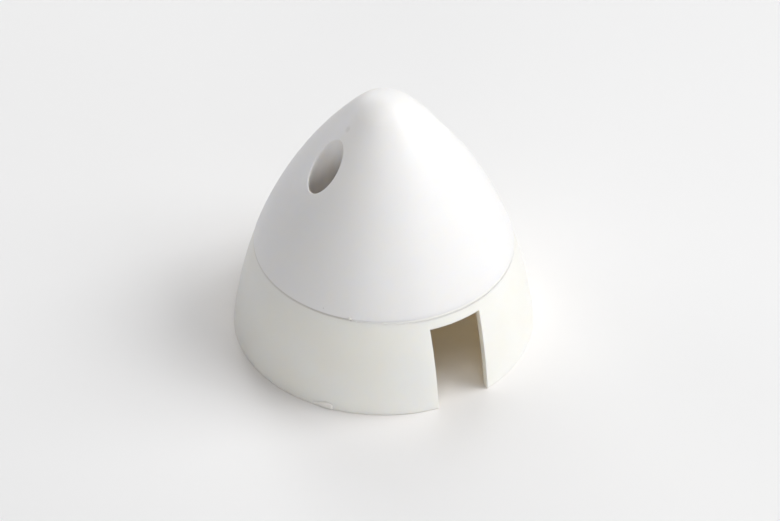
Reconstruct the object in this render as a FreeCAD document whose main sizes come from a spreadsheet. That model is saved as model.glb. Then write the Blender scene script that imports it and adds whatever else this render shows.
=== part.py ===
# Two-blade propeller spinner for a model aircraft, 2 inches across the rear rim.
#
# The base cup is clamped in front of the propeller by the propeller nut: its skirt surrounds the
# propeller hub and has an open slot for each blade, and its web carries the shaft bore. The nose
# cone covers the nut and shaft end. It centres on the cup's spigot and is held by two screws, which
# are reached down two deep wells, a quarter turn from the blades.
#
# Millimetres. The origin is the centre of the rear rim, +Z points forward along the shaft to the
# nose, the blade slots face -Y and +Y, and the screw wells lie on -X and +X.

import FreeCAD, Part
import functools
import os
import re

import Sketcher

# Driving dimensions. Each one can be changed by itself.
SIZES = {
    # Outside form: one circular arc turned about the shaft, closed by a tangent sphere at the nose.
    "base_radius": 25.4,
    "ogive_radius": 75.4,
    "ogive_drop": 7.9,  # how far the arc's centre lies behind the rear rim
    "nose_radius": 7.1,
    # Base cup
    "skirt_wall": 1.2,
    "slot_height": 14.75,
    "slot_width": 9.6,  # at the rear rim
    "slot_taper": 0.05,  # mould draft: how much each side of a slot leans in at its top
    "web_thickness": 2.0,
    "shaft_bore_radius": 3.2,
    "collar_radius": 6.5,
    "collar_height": 1.6,
    "spigot_height": 3.0,
    "spigot_wall": 1.2,
    "rib_count": 8,
    "rib_thickness": 1.2,
    "rib_height": 1.2,
    "boss_radius": 3.2,
    "boss_height": 6.1,
    "pilot_radius": 1.05,
    "pilot_depth": 7.0,
    # Nose cone
    "cone_wall": 1.6,
    "lip_step": 0.12,  # how far the cone's lip stands proud of the cup
    "joint_gap": 0.1,
    "spigot_clearance": 0.1,
    "screw_offset": 11.1,  # from the shaft's axis to each screw's axis
    "well_radius": 2.8,
    "well_wall": 1.2,
    "well_floor": 2.0,
    "screw_hole_radius": 1.4,
    # Screws
    "head_clearance": 0.35,  # between a screw's head and the wall of its well
    "head_height": 1.9,
    "head_side": 0.9,  # upright part of the head's side, below its dome
    "core_clearance": 0.05,  # between a screw's thread core and its pilot hole
    "screw_length": 8.0,
    "screw_point": 1.2,
    "recess_width": 0.7,
    "recess_span": 2.7,
    "recess_depth": 1.1,
    # Rounded edges
    "rim_round": 0.15,
    "web_round": 0.8,
    "lip_round": 0.12,
    "mouth_round": 0.2,
}

# What follows from the driving dimensions, each name standing for an expression.
RELATIONS = {
    # The arc's centre lies this far across the axis, so that the arc meets the rim at base_radius.
    "arc_offset": "sqrt(ogive_radius ^ 2 - ogive_drop ^ 2) - base_radius",
    "joint_height": "slot_height + web_thickness",
    "skirt_arc": "ogive_radius - skirt_wall",
    "cone_arc": "ogive_radius + lip_step",
    "core_arc": "cone_arc - cone_wall",
    "core_nose_radius": "nose_radius - cone_wall",
    # The sphere is tangent to the arc, so their centres are cone_arc - nose_radius apart.
    "nose_centre": "sqrt((cone_arc - nose_radius) ^ 2 - arc_offset ^ 2) - ogive_drop",
    "lip_height": "joint_height + joint_gap",
    "socket_top": "joint_height + spigot_height + spigot_clearance",
    "socket_radius": "sqrt(core_arc ^ 2 - (socket_top + ogive_drop) ^ 2) - arc_offset",
    "spigot_radius": "socket_radius - spigot_clearance",
    "spigot_inside": "spigot_radius - spigot_wall",
    "boss_top": "joint_height + boss_height",
    "well_bottom": "boss_top + well_floor",
    "head_radius": "well_radius - head_clearance",
    "core_radius": "pilot_radius - core_clearance",
}


def expression(text):
    """The text with every relation written out and every driving dimension as a cell of the sheet."""

    def written_out(word):
        if word[0] in RELATIONS:
            return f"({expression(RELATIONS[word[0]])})"
        return f"sizes.{word[0]}" if word[0] in SIZES else word[0]

    return re.sub(r"[a-z_]+", written_out, text)


def on_arc(radius, height):
    """How far from the shaft's axis the outside form's arc, redrawn at this radius, is at a height."""
    return f"sqrt(({radius}) ^ 2 - ({height} + ogive_drop) ^ 2) - arc_offset"


def tangent_point(arc, radius, across, height):
    """Where a circle inside the arc touches it: on the line through both centres, beyond its own."""
    reach = f"({arc}) / (({arc}) - ({radius}))"
    return (
        f"({across} + arc_offset) * {reach} - arc_offset",
        f"({height} + ogive_drop) * {reach} - ogive_drop",
    )


def rounded_corner(arc, radius, face, side):
    """The rounding between the arc and a flat face at a height: its point on the face, its point on
    the arc, and (radius, centre). It lies above the face where side is + and below it where it is -."""
    height = f"({face} {side} {radius})"
    across = f"({on_arc(f'{arc} - {radius}', height)})"
    return (across, face), tangent_point(arc, radius, across, height), (radius, across, height)


@functools.cache
def value(text):
    return float(sheet.evalExpression(expression(text)))


def add_body(name):
    body = doc.addObject("PartDesign::Body", name)
    body.Label = name
    return body


def add_sketch(body, name, plane, height="0"):
    """A sketch on one of the body's own origin planes, or parallel to it at a height."""
    sketch = body.newObject("Sketcher::SketchObject", name)
    origin = body.Origin.OriginFeatures
    sketch.AttachmentSupport = [(next(o for o in origin if o.Role == plane), "")]
    sketch.MapMode = "FlatFace"
    if height != "0":
        sketch.setExpression(".AttachmentOffset.Base.z", expression(height))
    doc.recompute()
    return sketch


def dimension(sketch, kind, where, text):
    """One dimension of a sketch, bound to the sheet. A point at 0 is put on the axis instead."""
    if text == "0":
        axis = -2 if kind == "DistanceX" else -1
        sketch.addConstraint(Sketcher.Constraint("PointOnObject", *where, axis))
        return
    start = (-1, 1) if kind.startswith("Distance") else ()
    number = sketch.addConstraint(Sketcher.Constraint(kind, *start, *where, value(text)))
    sketch.setExpression(f"Constraints[{number}]", expression(text))


def add_outline(sketch, corners, arcs=()):
    """A closed outline through corners given as pairs of expressions, each joined to the next by a
    straight edge, or by the arc that arcs gives for that corner as (radius, centre x, centre y)."""
    points = [FreeCAD.Vector(value(x), value(y), 0) for x, y in corners]
    ends = []
    for number, (start, end) in enumerate(zip(points, points[1:] + points[:1])):
        if number in arcs:
            radius, *centre = (value(text) for text in arcs[number])
            centre = FreeCAD.Vector(*centre, 0)
            turn = (start - centre).cross(end - centre).z
            first, last = (start, end) if turn > 0 else (end, start)
            circle = Part.Circle(centre, FreeCAD.Vector(0, 0, 1), radius)
            edge = Part.ArcOfCircle(circle, circle.parameter(first), circle.parameter(last))
            ends.append((1, 2) if turn > 0 else (2, 1))
        else:
            edge = Part.LineSegment(start, end)
            ends.append((1, 2))
        sketch.addGeometry(edge)
    for number, (x, y) in enumerate(corners):
        before = number - 1 if number else len(corners) - 1
        sketch.addConstraint(
            Sketcher.Constraint("Coincident", before, ends[before][1], number, ends[number][0])
        )
        dimension(sketch, "DistanceX", (number, ends[number][0]), x)
        dimension(sketch, "DistanceY", (number, ends[number][0]), y)
        if number in arcs:
            dimension(sketch, "Radius", (number,), arcs[number][0])


def add_screw_circles(sketch, radius):
    """A circle round each of the two screw axes."""
    for number, side in enumerate(("screw_offset", "-screw_offset")):
        centre = FreeCAD.Vector(value(side), 0, 0)
        sketch.addGeometry(Part.Circle(centre, FreeCAD.Vector(0, 0, 1), value(radius)))
        dimension(sketch, "DistanceX", (number, 3), side)
        dimension(sketch, "DistanceY", (number, 3), "0")
        dimension(sketch, "Radius", (number,), radius)


def add_turned(body, name, sketch):
    """The sketch turned once about the body's own Z axis."""
    turned = body.newObject("PartDesign::Revolution", name)
    turned.Profile = sketch
    turned.ReferenceAxis = (sketch, ["V_Axis"])
    turned.Angle = 360
    doc.recompute()
    return turned


def add_pad(body, name, sketch, length):
    pad = body.newObject("PartDesign::Pad", name)
    pad.Profile = sketch
    pad.setExpression("Length", expression(length))
    doc.recompute()
    return pad


def add_pocket(body, name, sketch, depth=None, upward=False):
    """A pocket below the sketch, or above it, of a depth or through everything."""
    pocket = body.newObject("PartDesign::Pocket", name)
    pocket.Profile = sketch
    pocket.Reversed = upward
    if depth is None:
        pocket.Type = "ThroughAll"
    else:
        pocket.setExpression("Length", expression(depth))
    doc.recompute()
    return pocket


def add_rounding(body, name, radius, chosen):
    """A fillet on every edge of the body so far for which chosen(edge) is true."""
    base = body.Tip
    edges = [f"Edge{n}" for n, edge in enumerate(base.Shape.Edges, 1) if chosen(edge)]
    rounding = body.newObject("PartDesign::Fillet", name)
    rounding.Base = (base, edges)
    rounding.setExpression("Radius", expression(radius))
    doc.recompute()
    return rounding


def samples(edge):
    """(distance from the shaft's axis, height) of three points along an edge."""
    first, last = edge.FirstParameter, edge.LastParameter
    points = [edge.valueAt(first + (last - first) * share) for share in (0, 0.5, 1)]
    return [((point.x**2 + point.y**2) ** 0.5, point.z) for point in points]


def build_base_cup():
    """Skirt with two blade slots, web with shaft bore and collar, spigot, ribs and screw bosses."""
    body = add_body("base_cup")
    rim_on_face, rim_on_arc, rim = rounded_corner("ogive_radius", "rim_round", "0", "+")
    web_on_face, web_on_arc, web = rounded_corner("skirt_arc", "web_round", "slot_height", "-")
    section = add_sketch(body, "cup_section", "XZ_Plane")
    corners = [
        rim_on_face,
        rim_on_arc,
        (on_arc("ogive_radius", "joint_height"), "joint_height"),
        ("spigot_radius", "joint_height"),
        ("spigot_radius", "joint_height + spigot_height"),
        ("spigot_inside", "joint_height + spigot_height"),
        ("spigot_inside", "joint_height"),
        ("collar_radius", "joint_height"),
        ("collar_radius", "joint_height + collar_height"),
        ("shaft_bore_radius", "joint_height + collar_height"),
        ("shaft_bore_radius", "slot_height"),
        web_on_face,
        web_on_arc,
        (on_arc("skirt_arc", "0"), "0"),
    ]
    arcs = {
        0: rim,
        1: ("ogive_radius", "-arc_offset", "-ogive_drop"),
        11: web,
        12: ("skirt_arc", "-arc_offset", "-ogive_drop"),
    }
    add_outline(section, corners, arcs)
    add_turned(body, "cup_turned", section)

    boss_plan = add_sketch(body, "boss_plan", "XY_Plane", "joint_height")
    add_screw_circles(boss_plan, "boss_radius")
    add_pad(body, "bosses", boss_plan, "boss_height")

    # One rib runs along +X from inside the collar to inside the spigot's wall.
    rib_plan = add_sketch(body, "rib_plan", "XY_Plane", "joint_height")
    rib_start = "(shaft_bore_radius + collar_radius) / 2"
    rib_end = "spigot_inside + spigot_wall / 2"
    rib_corners = [
        (rib_start, "-rib_thickness / 2"),
        (rib_end, "-rib_thickness / 2"),
        (rib_end, "rib_thickness / 2"),
        (rib_start, "rib_thickness / 2"),
    ]
    add_outline(rib_plan, rib_corners)
    rib = add_pad(body, "rib", rib_plan, "rib_height")
    ribs = body.newObject("PartDesign::PolarPattern", "ribs")
    ribs.Originals = [rib]
    ribs.Axis = (rib_plan, ["N_Axis"])
    ribs.Angle = 360
    ribs.setExpression("Occurrences", expression("rib_count"))
    body.Tip = ribs
    doc.recompute()

    pilot_plan = add_sketch(body, "pilot_plan", "XY_Plane", "boss_top")
    add_screw_circles(pilot_plan, "pilot_radius")
    add_pocket(body, "pilot_holes", pilot_plan, "pilot_depth")

    # The slot's outline starts behind the rim, on the same leaning sides, so that the cut is clean.
    slot_plan = add_sketch(body, "slot_plan", "XZ_Plane")
    below = "rim_round"
    half_top = "slot_width / 2 - slot_taper"
    half_below = f"slot_width / 2 + slot_taper * {below} / slot_height"
    slot_corners = [
        (half_below, f"-{below}"),
        (half_top, "slot_height"),
        (f"-({half_top})", "slot_height"),
        (f"-({half_below})", f"-{below}"),
    ]
    add_outline(slot_plan, slot_corners)
    slots = add_pocket(body, "blade_slots", slot_plan)
    slots.Midplane = True
    doc.recompute()

    return body


def add_ogive(body, name, arc, nose, foot, arcs_before=()):
    """A sketch of half the outside form at these radii: the foot's corners, the last of them on the
    arc, then the arc, the nose sphere and the axis down to the height of the first corner."""
    sketch = add_sketch(body, name, "XZ_Plane")
    corners = [
        *foot,
        tangent_point(arc, nose, "0", "nose_centre"),
        ("0", f"nose_centre + {nose}"),
        ("0", foot[0][1]),
    ]
    arcs = {number: data for number, data in enumerate(arcs_before) if data}
    arcs[len(foot) - 1] = (arc, "-arc_offset", "-ogive_drop")
    arcs[len(foot)] = (nose, "0", "nose_centre")
    add_outline(sketch, corners, arcs)
    return sketch


def build_nose_cone():
    """Ogive shell whose two screw wells are tubes moulded in one with it."""
    # The hollow is a core, as in the mould: the inside form, with a deep hole round each well.
    core = add_body("cone_core")
    foot = [("socket_radius", "lip_height - spigot_height"), ("socket_radius", "socket_top")]
    inside = add_ogive(core, "inside_form", "core_arc", "core_nose_radius", foot)
    add_turned(core, "core_turned", inside)
    tube_plan = add_sketch(core, "tube_plan", "XY_Plane", "boss_top")
    add_screw_circles(tube_plan, "well_radius + well_wall")
    add_pocket(core, "tube_holes", tube_plan, upward=True)

    body = add_body("nose_cone")
    lip_on_face, lip_on_arc, lip = rounded_corner("cone_arc", "lip_round", "lip_height", "+")
    foot = [lip_on_face, lip_on_arc]
    outside = add_ogive(body, "outside_form", "cone_arc", "nose_radius", foot, [lip])
    add_turned(body, "cone_turned", outside)
    hollow = body.newObject("PartDesign::Boolean", "hollow")
    hollow.setObjects([core])
    hollow.Type = "Cut"
    doc.recompute()

    well_plan = add_sketch(body, "well_plan", "XY_Plane", "well_bottom")
    add_screw_circles(well_plan, "well_radius")
    add_pocket(body, "wells", well_plan, upward=True)
    hole_plan = add_sketch(body, "screw_hole_plan", "XY_Plane", "well_bottom")
    add_screw_circles(hole_plan, "screw_hole_radius")
    add_pocket(body, "screw_holes", hole_plan, "well_floor")

    add_rounding(body, "mouth_rounding", "mouth_round", is_well_mouth)
    return body


def is_well_mouth(edge):
    """Whether an edge is where a screw well opens through the outside of the cone."""
    box = edge.BoundBox
    slanting = box.ZLength > value("well_radius") and box.YLength > value("well_radius")
    return slanting and all(near_arc(a, b) for a, b in samples(edge))


def near_arc(across, height):
    """Whether a point lies on the arc of the cone's outside."""
    arc_across = across + value("arc_offset")
    arc_height = height + value("ogive_drop")
    return abs((arc_across**2 + arc_height**2) ** 0.5 - value("cone_arc")) < 1e-3


def build_screw(name, side):
    """Pan-head screw with a cross recess, standing in its own well with its head's seat at Z = 0."""
    body = add_body(name)
    body.setExpression(".Placement.Base.x", expression(f"{side}screw_offset"))
    body.setExpression(".Placement.Base.z", expression("well_bottom"))
    section = add_sketch(body, f"{name}_section", "XZ_Plane")
    dome_rise = "(head_height - head_side)"
    dome_radius = f"(head_radius ^ 2 + {dome_rise} ^ 2) / (2 * {dome_rise})"
    corners = [
        ("0", "-screw_length"),
        ("core_radius", "screw_point - screw_length"),
        ("core_radius", "0"),
        ("head_radius", "0"),
        ("head_radius", "head_side"),
        ("0", "head_height"),
    ]
    add_outline(section, corners, {4: (dome_radius, "0", f"head_height - {dome_radius}")})
    add_turned(body, f"{name}_turned", section)

    recess_plan = add_sketch(body, f"{name}_recess_plan", "XY_Plane", "head_height")
    long, wide = "recess_span / 2", "recess_width / 2"
    quarter = [(long, wide), (wide, wide), (wide, long)]
    cross = list(quarter)
    cross += [(f"-{x}", y) for x, y in reversed(quarter)]
    cross += [(f"-{x}", f"-{y}") for x, y in quarter]
    cross += [(x, f"-{y}") for x, y in reversed(quarter)]
    add_outline(recess_plan, cross)
    add_pocket(body, f"{name}_recess", recess_plan, "recess_depth")
    return body


doc = FreeCAD.newDocument("spinner")
sheet = doc.addObject("Spreadsheet::Sheet", "sizes")
for row, (name, size) in enumerate(SIZES.items(), 1):
    sheet.set(f"A{row}", name)
    sheet.set(f"B{row}", str(size))
    sheet.setAlias(f"B{row}", name)
doc.recompute()

parts = [
    build_base_cup(),
    build_nose_cone(),
    build_screw("cone_screw_left", "-"),
    build_screw("cone_screw_right", ""),
]
doc.recompute()

for item in doc.Objects:
    if "Invalid" in item.State or "Error" in item.State:
        raise RuntimeError(f"{item.Label} failed: {item.State}")
os.makedirs("parts", exist_ok=True)
for part in parts:
    if part.Shape.isNull() or not part.Shape.isValid():
        raise RuntimeError(f"{part.Label} has no valid shape")
    part.Shape.exportStep(f"parts/{part.Label}.step")
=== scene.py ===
"""Looks of the two-blade propeller spinner, laid out as a Blender add-on and run as a script.

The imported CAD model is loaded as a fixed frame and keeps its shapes. Each operator dresses one piece,
adds the marks that moulding left on it, or sets the stage. Lengths are metres in the row frame: the
origin is the centre of the rear rim, +Z points to the nose, the blade slots face -Y and +Y, and the
screw wells lie on -X and +X. An angle round the spinner is measured from -Y, towards +X.
"""

import math

import bmesh
import bpy
import numpy as np
from bpy.props import FloatProperty, FloatVectorProperty, PointerProperty, StringProperty
from mathutils import Matrix, Vector


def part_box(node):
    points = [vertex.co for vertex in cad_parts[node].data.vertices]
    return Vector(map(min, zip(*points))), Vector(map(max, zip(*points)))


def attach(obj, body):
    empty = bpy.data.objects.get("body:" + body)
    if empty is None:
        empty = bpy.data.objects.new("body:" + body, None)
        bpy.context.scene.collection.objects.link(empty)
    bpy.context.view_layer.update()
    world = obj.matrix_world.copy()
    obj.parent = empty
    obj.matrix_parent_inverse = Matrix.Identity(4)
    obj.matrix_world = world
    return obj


bl_info = {
    "name": "Propeller spinner",
    "version": (1, 0, 0),
    "blender": (4, 5, 0),
    "location": "3D View > Sidebar > Spinner",
    "description": "Dresses a two-blade propeller spinner and sets its stage",
    "category": "Object",
}

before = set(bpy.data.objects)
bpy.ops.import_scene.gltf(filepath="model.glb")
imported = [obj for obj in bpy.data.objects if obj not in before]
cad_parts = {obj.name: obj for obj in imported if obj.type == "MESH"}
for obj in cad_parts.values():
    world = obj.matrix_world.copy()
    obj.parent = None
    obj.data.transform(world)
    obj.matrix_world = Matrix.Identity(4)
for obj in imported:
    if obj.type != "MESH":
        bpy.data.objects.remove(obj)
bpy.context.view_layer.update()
MM = 0.001
BODY = "root"

NYLON_IOR = 1.53
# How far red, green and blue light spread in nylon, as shares of the glow depth.
GLOW_SPREAD = (1.0, 0.95, 0.85)

# The outside form, as in the CAD model. The cup follows one arc, whose centre lies the drop behind the
# rear rim. The cone follows an arc about the same centre, the lip's step further out.
BASE_RADIUS = 25.4 * MM
OGIVE_RADIUS = 75.4 * MM
OGIVE_DROP = 7.9 * MM
LIP_STEP = 0.12 * MM
JOINT_GAP = 0.1 * MM
LIP_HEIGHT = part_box("nose_cone")[0][2]
JOINT_MIDDLE = LIP_HEIGHT - JOINT_GAP / 2

# Each softbox: name, degrees round from the camera, degrees above the floor, watts and sRGB hex.
SOFTBOXES = (
    ("softbox_key", 105, 45, 3.6, "ffffff"),
    ("softbox_right", 75, 45, 2.85, "ffffff"),
    ("softbox_high", 120, 65, 1.8, "ffffff"),
    ("softbox_high_front", 0, 65, 2.05, "ffffff"),
    ("softbox_low_front", 0, 8, 1.6, "ffffff"),
    ("softbox_low_right", 40, 8, 1.4, "f2f5ff"),
    ("softbox_back", 180, 45, 0.75, "ffffff"),
    ("softbox_low_back", 200, 25, 1.25, "ffffff"),
    ("softbox_low_left", 240, 8, 1.35, "e5ecff"),
    ("softbox_left", 258, 28, 0.65, "fff4ea"),
)
SOFTBOX_DISTANCE = 1.0
SOFTBOX_AIM = (0.0, 0.0, 0.02)

# Each dark spot on a shell: its angle in degrees, its height, half-width and half-height in
# millimetres, and how much it darkens. The cone's are specks. On the cup, the first is a painted
# shadow in the pit under the burr on the cone's lip, and the second a dark spot just under the joint.
CONE_SPECKS = ((-91.2, 42.3, 0.55, 1.0, 0.13), (-59.1, 17.7, 0.14, 0.12, 0.3))
CUP_SHADOW_AND_SPECKS = ((-46.2, 16.68, 0.22, 0.13, 0.35), (-25.5, 16.6, 0.15, 0.1, 0.25))

# Along X, where the painted shade in the joint begins and where it is full, on the side away
# from the key light.
JOINT_SHADE_SIDE = (-13.5 * MM, -16.5 * MM)

# The floor's half-width, and how far out it begins to fade to the backdrop and where it has faded.
FLOOR_HALF = 1.0
FLOOR_FADE = (0.12, 0.3)


def linear(colour):
    """The linear RGBA of an sRGB hex colour such as "f4f4f2"."""
    parts = [int(colour[n : n + 2], 16) / 255 for n in (0, 2, 4)]
    return [c / 12.92 if c <= 0.04045 else ((c + 0.055) / 1.055) ** 2.4 for c in parts] + [1.0]


def add_node(tree, kind, inputs=(), **properties):
    """A node of a kind with its properties. Each of its inputs that is named, by name or number, gets
    a value, or a link from another node's output."""
    node = tree.nodes.new(f"ShaderNode{kind}")
    for name, value in properties.items():
        setattr(node, name, value)
    for key, value in dict(inputs).items():
        if isinstance(value, bpy.types.NodeSocket):
            tree.links.new(value, node.inputs[key])
        else:
            node.inputs[key].default_value = value
    return node


def new_material(name):
    """A material with no nodes but its output, and its tree."""
    material = bpy.data.materials.new(name)
    material.use_nodes = True
    tree = material.node_tree
    tree.nodes.clear()
    return material, tree, add_node(tree, "OutputMaterial")


def wear(piece, material):
    """Gives a whole object one material."""
    piece.data.materials.clear()
    piece.data.materials.append(material)


def form_radius(height, arc):
    """How far the outside form is from the shaft's axis at a height: one circular arc of radius arc,
    whose centre lies behind the rear rim and beyond the axis."""
    across = math.sqrt(OGIVE_RADIUS**2 - OGIVE_DROP**2) - BASE_RADIUS
    return np.sqrt(arc**2 - (height + OGIVE_DROP) ** 2) - across


def on_form(angle, radius, height):
    """Points at an angle in radians, a radius and a height, all as whole arrays."""
    return np.stack(np.broadcast_arrays(radius * np.sin(angle), -radius * np.cos(angle), height), -1)


def speck_and_shadow_mask(tree, place, arc, spot):
    """How much a dark spot darkens a place, for specks and painted shadow alike: its strength inside
    an ellipsoid, fading to 0 at its skin.
    """
    degrees, height, wide, tall, strength = spot
    centre = on_form(math.radians(degrees), form_radius(height * MM, arc), height * MM)
    offset = add_node(tree, "VectorMath", {0: place, 1: centre}, operation="SUBTRACT")
    inverse = [1 / (wide * MM), 1 / (wide * MM), 1 / (tall * MM)]
    scaled = add_node(tree, "VectorMath", {0: offset.outputs[0], 1: inverse}, operation="MULTIPLY")
    reach = add_node(tree, "VectorMath", {0: scaled.outputs[0]}, operation="LENGTH")
    fade = {"Value": reach.outputs["Value"], "From Min": 1.0, "From Max": 0.4, "To Max": strength}
    return add_node(tree, "MapRange", fade).outputs["Result"]


def joint_shade_mask(tree, place, shell):
    """How much painted shade darkens a place: a dark line along the joint, on the side where X is
    negative, away from the key light.
    """
    parts = add_node(tree, "SeparateXYZ", {0: place})
    off = add_node(tree, "Math", {0: parts.outputs["Z"], 1: -JOINT_MIDDLE}, operation="ADD")
    off = add_node(tree, "Math", {0: off.outputs["Value"]}, operation="ABSOLUTE")
    near = {
        "Value": off.outputs["Value"],
        "From Min": shell.joint_shade_reach,
        "From Max": shell.joint_shade_reach / 2,
        "To Max": shell.joint_shade,
    }
    side = {"Value": parts.outputs["X"], "From Min": JOINT_SHADE_SIDE[0], "From Max": JOINT_SHADE_SIDE[1]}
    shares = {
        0: add_node(tree, "MapRange", near).outputs["Result"],
        1: add_node(tree, "MapRange", side).outputs["Result"],
    }
    return add_node(tree, "Math", shares, operation="MULTIPLY").outputs["Value"]


def skin_colour(tree, place, colour, tint, shell, masks):
    """Two near colours in soft patches, darkened where a mask says so."""
    cloud = {"Vector": place, "Scale": 1 / shell.cloud_size, "Detail": 2.0}
    patches = {
        "Value": add_node(tree, "TexNoise", cloud).outputs["Fac"],
        "From Min": 0.35,
        "From Max": 0.65,
    }
    share = add_node(tree, "MapRange", patches).outputs["Result"]
    colours = {"Factor": share, "A": linear(colour), "B": linear(tint)}
    skin = add_node(tree, "Mix", colours, data_type="RGBA").outputs[2]
    # The masks darken it with painted shade along the joint and under the burr, and with dark specks.
    for mask in masks:
        soiled_and_shaded = {"Factor": mask, "A": skin, "B": linear(shell.shade_and_speck_colour)}
        skin = add_node(tree, "Mix", soiled_and_shaded, data_type="RGBA").outputs[2]
    return skin


def moulded_nylon(name, colour, tint, glow, shell, arc, specks_and_shadows):
    """Satin injection-moulded nylon: milky white, with the even sheen of a fine spark-eroded mould.
    The eye sees soft shade, warm light through thin walls, glowing edges and slight cloudiness."""
    material, tree, output = new_material(name)
    place = add_node(tree, "TexCoord").outputs["Object"]
    # Painted shade: a dark line along the joint on the side away from the key light, and on the cup a
    # painted shadow in the pit under the burr. The cone's spots are dark specks.
    masks = [joint_shade_mask(tree, place, shell)]
    masks += [speck_and_shadow_mask(tree, place, arc, spot) for spot in specks_and_shadows]
    # The mould's grain is about 0.1 mm in size. It is drawn coarser, so that it shows.
    grain = {"Vector": place, "Scale": 1 / shell.grain_size, "Detail": 3.0}
    grain = add_node(tree, "TexNoise", grain).outputs["Fac"]
    uneven = 0.04  # in roughness, each way
    sheen = {"Value": grain, "To Min": shell.roughness - uneven, "To Max": shell.roughness + uneven}
    edge = add_node(tree, "Bevel", {"Radius": shell.edge_round}, samples=6)
    bump = {
        "Height": grain,
        "Strength": 0.25,
        "Distance": shell.grain_depth,
        "Normal": edge.outputs["Normal"],
    }
    looks = {
        "Base Color": skin_colour(tree, place, colour, tint, shell, masks),
        "Roughness": add_node(tree, "MapRange", sheen).outputs["Result"],
        "IOR": NYLON_IOR,
        "Normal": add_node(tree, "Bump", bump).outputs["Normal"],
        "Subsurface Weight": shell.translucency,
        "Subsurface Radius": [shell.glow_depth * share for share in GLOW_SPREAD],
        "Subsurface Scale": 1.0,
    }
    skin = add_node(tree, "BsdfPrincipled", looks)
    # Light that has already bounced may pass through the wall, and comes out amber.
    bounced = add_node(tree, "LightPath").outputs["Is Diffuse Ray"]
    passing = add_node(tree, "Math", {0: bounced, 1: shell.wall_glow}, operation="MULTIPLY")
    through = add_node(tree, "BsdfTranslucent", {"Color": linear(glow)})
    layers = {0: passing.outputs["Value"], 1: skin.outputs["BSDF"], 2: through.outputs["BSDF"]}
    shader = add_node(tree, "MixShader", layers)
    tree.links.new(shader.outputs["Shader"], output.inputs["Surface"])
    return material


def torn_nylon(name, colour, marks):
    """Nylon that was torn or sheared. It has stretched until it whitened, so the eye sees it as more
    opaque and rougher than the moulded skin, and a little uneven."""
    material, tree, output = new_material(name)
    place = add_node(tree, "TexCoord").outputs["Object"]
    # The fibres that tearing draws out are a few hundredths of a millimetre thick. They are drawn
    # coarser, so that they show.
    fibres = {"Vector": place, "Scale": 1 / marks.fibre_size, "Detail": 3.0}
    fibres = add_node(tree, "TexNoise", fibres).outputs["Fac"]
    rough = {"Value": fibres, "To Min": 0.45, "To Max": 0.65}
    bump = {"Height": fibres, "Strength": 0.3, "Distance": 0.02 * MM}
    looks = {
        "Base Color": linear(colour),
        "Roughness": add_node(tree, "MapRange", rough).outputs["Result"],
        "IOR": NYLON_IOR,
        "Normal": add_node(tree, "Bump", bump).outputs["Normal"],
    }
    shader = add_node(tree, "BsdfPrincipled", looks)
    tree.links.new(shader.outputs["BSDF"], output.inputs["Surface"])
    return material


def zinc_steel(name, thread):
    """Bright zinc-plated steel, cold-headed and rolled. The eye sees a pale grey metal whose gloss is
    slightly clouded by the plating."""
    material, tree, output = new_material(name)
    place = add_node(tree, "TexCoord").outputs["Object"]
    clouds = {"Vector": place, "Scale": 1 / thread.plate_clouds, "Detail": 3.0}
    clouds = add_node(tree, "TexNoise", clouds).outputs["Fac"]
    rough = {"Value": clouds, "To Min": 0.22, "To Max": 0.42}
    looks = {
        "Base Color": linear(thread.plate_colour),
        "Metallic": 1.0,
        "Roughness": add_node(tree, "MapRange", rough).outputs["Result"],
    }
    shader = add_node(tree, "BsdfPrincipled", looks)
    tree.links.new(shader.outputs["BSDF"], output.inputs["Surface"])
    return material


def backdrop_rays(tree):
    """1 for a ray that sees the plain backdrop, which is one from the camera or a glossy or transmitted
    one, and 0 for any other."""
    path = add_node(tree, "LightPath").outputs
    seen = path["Is Camera Ray"]
    for kind in ("Is Glossy Ray", "Is Transmission Ray"):
        seen = add_node(tree, "Math", {0: seen, 1: path[kind]}, operation="MAXIMUM").outputs["Value"]
    return seen


def satin_board(name, stage):
    """Satin white board: an even pale sheet with a faint sheen. Far from the spinner the eye sees the
    plain backdrop instead, so that the horizon is seamless."""
    material, tree, output = new_material(name)
    looks = {"Base Color": linear(stage.floor_colour), "Roughness": 0.35}
    board = add_node(tree, "BsdfPrincipled", looks)
    place = add_node(tree, "TexCoord").outputs["Object"]
    reach = add_node(tree, "VectorMath", {0: place}, operation="LENGTH").outputs["Value"]
    fade = {"Value": reach, "From Min": FLOOR_FADE[0], "From Max": FLOOR_FADE[1]}
    far = add_node(tree, "MapRange", fade).outputs["Result"]
    share = add_node(tree, "Math", {0: far, 1: backdrop_rays(tree)}, operation="MULTIPLY")
    plain = add_node(tree, "Emission", {"Color": linear(stage.backdrop_colour), "Strength": 1.0})
    layers = {0: share.outputs["Value"], 1: board.outputs["BSDF"], 2: plain.outputs["Emission"]}
    shader = add_node(tree, "MixShader", layers)
    tree.links.new(shader.outputs["Shader"], output.inputs["Surface"])
    return material


def add_piece(name, points, material):
    """A closed piece from rows of points. Each row is a loop, and the first and last rows shrink to a
    point, so that the skin has no open edge."""
    rows, columns = points.shape[:2]
    here = np.arange(rows - 1)[:, None] * columns + np.arange(columns)
    beside = np.roll(here, -1, 1)
    faces = np.stack([here, beside, beside + columns, here + columns], -1).reshape(-1, 4)
    mesh = bpy.data.meshes.new(name)
    mesh.from_pydata(points.reshape(-1, 3).tolist(), [], faces.tolist())
    merged = bmesh.new()
    merged.from_mesh(mesh)
    bmesh.ops.remove_doubles(merged, verts=merged.verts, dist=1e-7)
    bmesh.ops.recalc_face_normals(merged, faces=merged.faces)
    merged.to_mesh(mesh)
    merged.free()
    mesh.shade_smooth()
    piece = bpy.data.objects.new(name, mesh)
    bpy.context.scene.collection.objects.link(piece)
    wear(piece, material)
    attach(piece, BODY)


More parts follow.
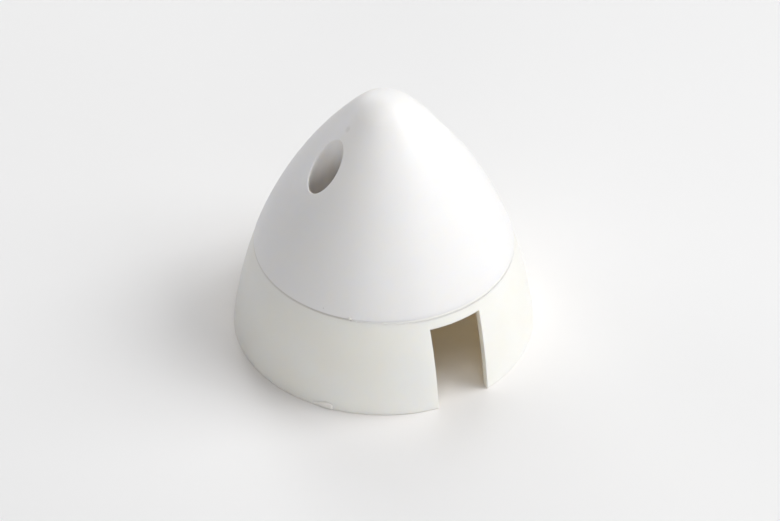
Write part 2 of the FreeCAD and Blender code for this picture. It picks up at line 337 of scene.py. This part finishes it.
def thread_surface(box, thread):
    """A ridge carried along a helix round a screw's shank: a trapezium whose foot lies inside the
    shank, and which grows from nothing and shrinks to nothing over a part of a turn at each end."""
    steps_a_turn = 40
    run_out = 0.75  # turns
    low, high = (np.array(corner) for corner in box)
    centre = (low + high) / 2
    turns = thread.length / thread.pitch
    turn = np.linspace(0, turns, int(turns * steps_a_turn))[:, None]
    size = np.clip(np.minimum(turn, turns - turn) / run_out, 0, 1)
    # The trapezium's corners: out from its foot to its crest, and along the shank in pitches.
    out = np.array([0.0, 1.0, 1.0, 0.0])
    along = np.array([-0.3, -0.05, 0.05, 0.3]) * thread.pitch
    foot = thread.core * 0.97
    radius = foot + (thread.crest - foot) * out * size
    height = low[2] + thread.point + turn * thread.pitch + along * size
    return on_form(turn * 2 * math.pi, radius, height) + [centre[0], centre[1], 0.0]


def gate_surface(marks):
    """The trimmed stub of the gate at the cup's rear edge, as loops round it from end to end. Its
    height and its rise over the outside form are piecewise straight lines from left to right. Its
    face follows the form, and above that a bevel leads back under the skin."""
    clearance = 0.12 * MM  # how far the foot is above the floor
    sink = 0.06 * MM  # how far the back is under the skin
    along = np.concatenate([[0.0], np.linspace(0, 1, 41), [1.0]])[:, None]
    whole = np.ones_like(along)
    whole[[0, -1]] = 0
    # Places along the stub, and the shares of its height and rise there.
    places = [0, 0.45, 0.75, 0.95, 1]
    tall = marks.gate_height * np.interp(along, places, [0.25, 0.76, 1.0, 0.83, 0.6])
    rise = marks.gate_rise * np.interp(along, places, [0.0, 0.6, 1.0, 1.0, 0.0])
    # The corners of a loop: up from the foot, out from the skin, and back under it.
    up = np.array([0.0, 0.0, 0.4, 0.75, 0.9, 1.0, 0.5])
    out = np.array([0.0, 1.0, 1.0, 1.0, 0.6, 0.0, 0.0])
    back = np.array([1.0, 0.0, 0.0, 0.0, 0.0, 1.0, 1.0])
    height = clearance + tall * up * whole
    angle = marks.gate_angle + (along - 0.5) * marks.gate_width / BASE_RADIUS
    radius = form_radius(height, OGIVE_RADIUS) + (rise * out - sink * back) * whole
    return on_form(angle, radius, height)


def burr_surface(marks):
    """A torn scrap of flash on the cone's lip, as loops round it from end to end. Its outline is half
    an ellipse that stands on a level line. It swells from the skin as a sine does, most near its upper
    edge and towards its right end, and its back lies just under the skin."""
    sink = 0.05 * MM  # how far the back is under the skin
    arc = OGIVE_RADIUS + LIP_STEP
    foot = LIP_HEIGHT + 0.1 * MM
    across = np.linspace(-1, 1, 33)[:, None]
    turn = np.linspace(0, 2 * math.pi, 24, endpoint=False)[None, :]
    outline = np.sqrt(np.maximum(1 - across**2, 0))
    height = foot + marks.burr_height * outline * (1 - np.cos(turn)) / 2
    swell = np.sin(turn) * outline
    proud = marks.burr_rise * swell * (1 - 0.5 * np.cos(turn)) * (1 + 0.3 * across)
    out = np.where(np.sin(turn) > 0, proud, sink * swell)
    angle = marks.burr_angle + across * marks.burr_width / 2 / form_radius(foot, arc)
    return on_form(angle, form_radius(height, arc) + out, height)


def flash_surface(marks):
    """A film of flash over the joint, as loops round its section from end to end. The film leads
    straight down from the cone's lip to the cup. Over its first stretch it is torn: it sinks back into
    the joint by a sum of sines, less and less. Over its last stretch it sinks more and more. Both ends
    shrink to a point inside the joint."""
    last_stretch = 0.3  # radians
    thickness = 0.25 * MM  # how far the film's back is behind the cup's form
    inside = 0.1 * MM  # how far the end points are behind the film's middle
    start, end = marks.flash_start, marks.flash_end
    angle = np.concatenate([[start], np.linspace(start, end, 601), [end]])[:, None]
    whole = np.ones_like(angle)
    whole[[0, -1]] = 0
    torn = np.clip(1 - (angle - start) / marks.flash_torn, 0, 1)
    ragged = 0.6 + 0.25 * np.sin(angle * 61) + 0.15 * np.sin(angle * 143 + 1.3)
    fading = np.clip(1 - (end - angle) / last_stretch, 0, 1)
    sunk = np.clip(torn * ragged + fading, 0, 1) * marks.flash_depth
    # The film's corners from top to bottom: up from the joint's middle, and out from the cup's form.
    up = np.array([0.12 * MM, 0.05 * MM, -0.3 * marks.flash_reach, -marks.flash_reach])
    out = np.array([0.5, 1.06, 0.5, 0.0]) * LIP_STEP
    skin = form_radius(JOINT_MIDDLE + up, OGIVE_RADIUS) + out - sunk
    back = form_radius(JOINT_MIDDLE + up[::-1], OGIVE_RADIUS) - thickness
    radius = np.concatenate([skin, np.broadcast_to(back, skin.shape)], 1)
    height = np.concatenate([up, up[::-1]]) * whole + JOINT_MIDDLE
    middle = radius.mean(1, keepdims=True) - inside
    return on_form(angle, middle + (radius - middle) * whole, height)


def add_floor(scene, stage):
    """A flat square floor at the height of the rear rim."""
    half = FLOOR_HALF
    corners = [(-half, -half, 0), (half, -half, 0), (half, half, 0), (-half, half, 0)]
    mesh = bpy.data.meshes.new("floor")
    mesh.from_pydata(corners, [], [(0, 1, 2, 3)])
    floor = bpy.data.objects.new("floor", mesh)
    scene.collection.objects.link(floor)
    wear(floor, satin_board("satin_white_board", stage))


def add_backdrop(scene, stage):
    """A plain pale backdrop beyond the floor, which shows and is reflected, and gives no other light."""
    scene.world = bpy.data.worlds.new("backdrop")
    scene.world.use_nodes = True
    tree = scene.world.node_tree
    tree.nodes.clear()
    looks = {"Color": linear(stage.backdrop_colour), "Strength": backdrop_rays(tree)}
    sky = add_node(tree, "Background", looks)
    add_node(tree, "OutputWorld", {"Surface": sky.outputs["Background"]})


def around(azimuth, elevation, distance):
    """A point at an azimuth from -Y about +Z, an elevation and a distance from the origin."""
    across = distance * math.cos(elevation)
    height = distance * math.sin(elevation)
    return Vector((across * math.sin(azimuth), -across * math.cos(azimuth), height))


def add_softboxes(scene, stage):
    """A ring of round softboxes, all at one distance and aimed at the middle of the spinner."""
    target = Vector(SOFTBOX_AIM)
    for name, azimuth, elevation, power, colour in SOFTBOXES:
        lamp = bpy.data.lights.new(name, "AREA")
        lamp.shape = "DISK"
        lamp.size = stage.softbox_size
        lamp.energy = power * stage.light_level
        lamp.color = linear(colour)[:3]
        softbox = bpy.data.objects.new(name, lamp)
        scene.collection.objects.link(softbox)
        turned = stage.azimuth + math.radians(azimuth)
        place = around(turned, math.radians(elevation), SOFTBOX_DISTANCE)
        facing = (target - place).to_track_quat("-Z", "Y").to_matrix().to_4x4()
        softbox.matrix_world = Matrix.Translation(place) @ facing


def add_camera(scene, stage):
    """A long lens at the stage's angles, aimed beside and above the rear rim's centre."""
    forward = -around(stage.azimuth, stage.elevation, 1.0)
    right = forward.cross(Vector((0, 0, 1))).normalized()
    up = right.cross(forward)
    turned_right = right * math.cos(stage.roll) + up * math.sin(stage.roll)
    turned_up = up * math.cos(stage.roll) - right * math.sin(stage.roll)
    target = turned_right * stage.target[0] + turned_up * stage.target[1]
    place = target - forward * stage.distance
    camera = bpy.data.objects.new("camera", bpy.data.cameras.new("camera"))
    camera.data.lens = stage.lens
    camera.data.sensor_width = 36.0
    camera.data.clip_start = 0.01
    axes = Matrix((turned_right, turned_up, -forward)).transposed().to_4x4()
    camera.matrix_world = Matrix.Translation(place) @ axes
    scene.collection.objects.link(camera)
    return camera


class ShellSettings(bpy.types.PropertyGroup):
    """The two moulded shells"""

    cone_colour: StringProperty(name="Cone colour", description="sRGB hex", default="f7f5f4")
    cone_tint: StringProperty(name="Cone tint", description="sRGB hex of its patches", default="f6f4f2")
    cone_glow: StringProperty(
        name="Cone glow", description="sRGB hex of the light through its wall", default="dccdb4"
    )
    cup_colour: StringProperty(name="Cup colour", description="sRGB hex", default="f9f6f1")
    cup_tint: StringProperty(name="Cup tint", description="sRGB hex of its patches", default="f8f4ec")
    cup_glow: StringProperty(
        name="Cup glow", description="sRGB hex of the light through its wall", default="fde9b4"
    )
    wall_glow: FloatProperty(
        name="Wall glow",
        description="Share of bounced light that a wall lets through",
        subtype="FACTOR",
        min=0.0,
        max=1.0,
        default=0.28,
    )
    translucency: FloatProperty(
        name="Translucency",
        description="Share of light that enters the skin",
        subtype="FACTOR",
        min=0.0,
        max=1.0,
        default=1.0,
    )
    glow_depth: FloatProperty(
        name="Glow depth", description="How far light spreads in it", unit="LENGTH", default=0.6 * MM
    )
    roughness: FloatProperty(
        name="Roughness",
        description="Of the moulded skin",
        subtype="FACTOR",
        min=0.0,
        max=1.0,
        default=0.42,
    )
    edge_round: FloatProperty(
        name="Edge round", description="Of sharp moulded edges", unit="LENGTH", default=0.07 * MM
    )
    cloud_size: FloatProperty(
        name="Cloud size", description="Of the patches of tint", unit="LENGTH", default=12 * MM
    )
    grain_size: FloatProperty(
        name="Grain size", description="Of the mould's texture", unit="LENGTH", default=0.35 * MM
    )
    grain_depth: FloatProperty(
        name="Grain depth", description="Of the mould's texture", unit="LENGTH", default=0.01 * MM
    )
    # Painted shade: a dark line along the joint, on the side away from the key light.
    joint_shade: FloatProperty(
        name="Joint shade",
        description="How much it darkens the joint",
        subtype="FACTOR",
        min=0.0,
        max=1.0,
        default=0.2,
    )
    joint_shade_reach: FloatProperty(
        name="Joint shade reach", description="From the joint's middle", unit="LENGTH", default=0.3 * MM
    )
    # The colour of the painted shade in the joint and under the burr, and of the specks.
    shade_and_speck_colour: StringProperty(name="Shade and speck colour", description="sRGB hex", default="6f6a62")


class ThreadSettings(bpy.types.PropertyGroup):
    """The two screws and their threads"""

    plate_colour: StringProperty(name="Plate colour", description="sRGB hex of zinc", default="c9c8c4")
    plate_clouds: FloatProperty(
        name="Plate clouds", description="Size of the zinc's clouds", unit="LENGTH", default=0.6 * MM
    )
    pitch: FloatProperty(name="Pitch", description="Rise in a turn", unit="LENGTH", default=0.9 * MM)
    length: FloatProperty(name="Length", description="Of the thread", unit="LENGTH", default=6.4 * MM)
    point: FloatProperty(
        name="Point", description="Height of the bare point", unit="LENGTH", default=1.0 * MM
    )
    core: FloatProperty(name="Core", description="Radius of the shank", unit="LENGTH", default=1.0 * MM)
    crest: FloatProperty(
        name="Crest", description="Radius of the thread's crest", unit="LENGTH", default=1.25 * MM
    )


class MarkSettings(bpy.types.PropertyGroup):
    """What moulding left on the shells"""

    gate_colour: StringProperty(name="Gate colour", description="sRGB hex", default="f8f5ef")
    gate_angle: FloatProperty(
        name="Gate angle",
        description="Of the stub's middle, from -Y",
        subtype="ANGLE",
        default=math.radians(-55.5),
    )
    gate_width: FloatProperty(
        name="Gate width", description="Of the stub, along the rim", unit="LENGTH", default=3.9 * MM
    )
    gate_height: FloatProperty(
        name="Gate height", description="Of the stub, at most", unit="LENGTH", default=1.2 * MM
    )
    gate_rise: FloatProperty(
        name="Gate rise", description="Of the stub over the skin", unit="LENGTH", default=0.2 * MM
    )
    burr_angle: FloatProperty(
        name="Burr angle",
        description="Of the burr's middle, from -Y",
        subtype="ANGLE",
        default=math.radians(-46.6),
    )
    burr_width: FloatProperty(
        name="Burr width", description="Along the joint", unit="LENGTH", default=0.6 * MM
    )
    burr_height: FloatProperty(
        name="Burr height", description="Of the burr, at most", unit="LENGTH", default=0.4 * MM
    )
    burr_rise: FloatProperty(
        name="Burr rise", description="Of the burr over the skin", unit="LENGTH", default=0.22 * MM
    )
    flash_colour: StringProperty(name="Flash colour", description="sRGB hex", default="f9f7f2")
    flash_start: FloatProperty(
        name="Flash start",
        description="Of the film, from -Y",
        subtype="ANGLE",
        default=math.radians(-47),
    )
    flash_end: FloatProperty(
        name="Flash end",
        description="Of the film, from -Y",
        subtype="ANGLE",
        default=math.radians(85),
    )
    flash_torn: FloatProperty(
        name="Flash torn",
        description="How far round the film is torn",
        subtype="ANGLE",
        default=math.radians(36),
    )
    flash_depth: FloatProperty(
        name="Flash depth", description="How far its torn part sinks", unit="LENGTH", default=0.16 * MM
    )
    flash_reach: FloatProperty(
        name="Flash reach", description="Down from the joint", unit="LENGTH", default=0.45 * MM
    )
    fibre_size: FloatProperty(
        name="Fibre size", description="Of torn nylon", unit="LENGTH", default=0.15 * MM
    )


class StageSettings(bpy.types.PropertyGroup):
    """The floor, the light and the camera"""

    azimuth: FloatProperty(
        name="Azimuth",
        description="Of the camera about +Z, from -Y",
        subtype="ANGLE",
        default=math.radians(-32.2),
    )
    elevation: FloatProperty(
        name="Elevation",
        description="Of the camera above the floor",
        subtype="ANGLE",
        default=math.radians(39.22),
    )
    roll: FloatProperty(
        name="Roll", description="Of the camera", subtype="ANGLE", default=math.radians(0.298)
    )
    distance: FloatProperty(
        name="Distance", description="From the camera to its target", unit="LENGTH", default=0.5853
    )
    lens: FloatProperty(
        name="Lens",
        description="Focal length in millimetres, on a sensor 36 mm wide",
        subtype="DISTANCE_CAMERA",
        default=159.0,
    )
    target: FloatVectorProperty(
        name="Target",
        description="In view from the rear rim's centre: right, up",
        size=2,
        unit="LENGTH",
        default=(1.1 * MM, 9.4 * MM),
    )
    floor_colour: StringProperty(name="Floor colour", description="sRGB hex", default="f2f2f2")
    backdrop_colour: StringProperty(name="Backdrop colour", description="sRGB hex", default="ececec")
    softbox_size: FloatProperty(name="Softbox size", description="Across", unit="LENGTH", default=0.5)
    light_level: FloatProperty(name="Light level", description="Of all softboxes", default=0.96)


class SPINNER_OT_nose_cone(bpy.types.Operator):
    """Dress the nose cone"""

    bl_idname = "spinner.nose_cone"
    bl_label = "Nose cone"

    def execute(self, context):
        shell = context.scene.spinner_shell
        colours = shell.cone_colour, shell.cone_tint, shell.cone_glow
        arc = OGIVE_RADIUS + LIP_STEP
        material = moulded_nylon("satin_nylon_cool_white", *colours, shell, arc, CONE_SPECKS)
        wear(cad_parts["nose_cone"], material)
        return {"FINISHED"}


class SPINNER_OT_base_cup(bpy.types.Operator):
    """Dress the base cup"""

    bl_idname = "spinner.base_cup"
    bl_label = "Base cup"

    def execute(self, context):
        shell = context.scene.spinner_shell
        colours = shell.cup_colour, shell.cup_tint, shell.cup_glow
        # The cup's spots hold a painted shadow under the burr.
        material = moulded_nylon("satin_nylon_ivory", *colours, shell, OGIVE_RADIUS, CUP_SHADOW_AND_SPECKS)
        wear(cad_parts["base_cup"], material)
        return {"FINISHED"}


class SPINNER_OT_screws(bpy.types.Operator):
    """Dress the two cone screws and add their threads"""

    bl_idname = "spinner.screws"
    bl_label = "Cone screws"

    def execute(self, context):
        thread = context.scene.spinner_thread
        material = zinc_steel("zinc_plated_steel", thread)
        for name in ("cone_screw_left", "cone_screw_right"):
            wear(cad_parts[name], material)
            add_piece(f"{name}_thread", thread_surface(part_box(name), thread), material)
        return {"FINISHED"}


class SPINNER_OT_moulding_marks(bpy.types.Operator):
    """Add what moulding left behind: the gate's stub, and a burr and flash along the joint"""

    bl_idname = "spinner.moulding_marks"
    bl_label = "Moulding marks"

    def execute(self, context):
        marks = context.scene.spinner_marks
        sheared = torn_nylon("sheared_nylon_ivory", marks.gate_colour, marks)
        torn = torn_nylon("torn_nylon_white", marks.flash_colour, marks)
        add_piece("gate_stub", gate_surface(marks), sheared)
        add_piece("joint_burr", burr_surface(marks), torn)
        add_piece("joint_flash", flash_surface(marks), torn)
        return {"FINISHED"}


class SPINNER_OT_stage(bpy.types.Operator):
    """Add the floor, the backdrop, the soft light and the camera"""

    bl_idname = "spinner.stage"
    bl_label = "Stage"

    def execute(self, context):
        scene, stage = context.scene, context.scene.spinner_stage
        scene.view_settings.view_transform = "Standard"
        add_floor(scene, stage)
        add_backdrop(scene, stage)
        add_softboxes(scene, stage)
        scene.camera = add_camera(scene, stage)
        return {"FINISHED"}


OPERATORS = (
    SPINNER_OT_nose_cone,
    SPINNER_OT_base_cup,
    SPINNER_OT_screws,
    SPINNER_OT_moulding_marks,
    SPINNER_OT_stage,
)
GROUPS = {
    "spinner_shell": ShellSettings,
    "spinner_thread": ThreadSettings,
    "spinner_marks": MarkSettings,
    "spinner_stage": StageSettings,
}


class SPINNER_PT_panel(bpy.types.Panel):
    """The spinner's settings and operators"""

    bl_idname = "SPINNER_PT_panel"
    bl_label = "Propeller spinner"
    bl_space_type = "VIEW_3D"
    bl_region_type = "UI"
    bl_category = "Spinner"

    def draw(self, context):
        for group, kind in GROUPS.items():
            for name in kind.__annotations__:
                self.layout.prop(getattr(context.scene, group), name)
        for operator in OPERATORS:
            self.layout.operator(operator.bl_idname)


CLASSES = (*GROUPS.values(), *OPERATORS, SPINNER_PT_panel)


def register():
    """Registers the classes, and gives every scene its settings."""
    for added in CLASSES:
        bpy.utils.register_class(added)
    for group, kind in GROUPS.items():
        setattr(bpy.types.Scene, group, PointerProperty(type=kind))


def unregister():
    """Takes away what register added."""
    for group in GROUPS:
        delattr(bpy.types.Scene, group)
    for added in reversed(CLASSES):
        bpy.utils.unregister_class(added)


def main():
    """Builds the whole scene."""
    register()
    bpy.ops.spinner.nose_cone()
    bpy.ops.spinner.base_cup()
    bpy.ops.spinner.screws()
    bpy.ops.spinner.moulding_marks()
    bpy.ops.spinner.stage()


if __name__ == "__main__":
    main()
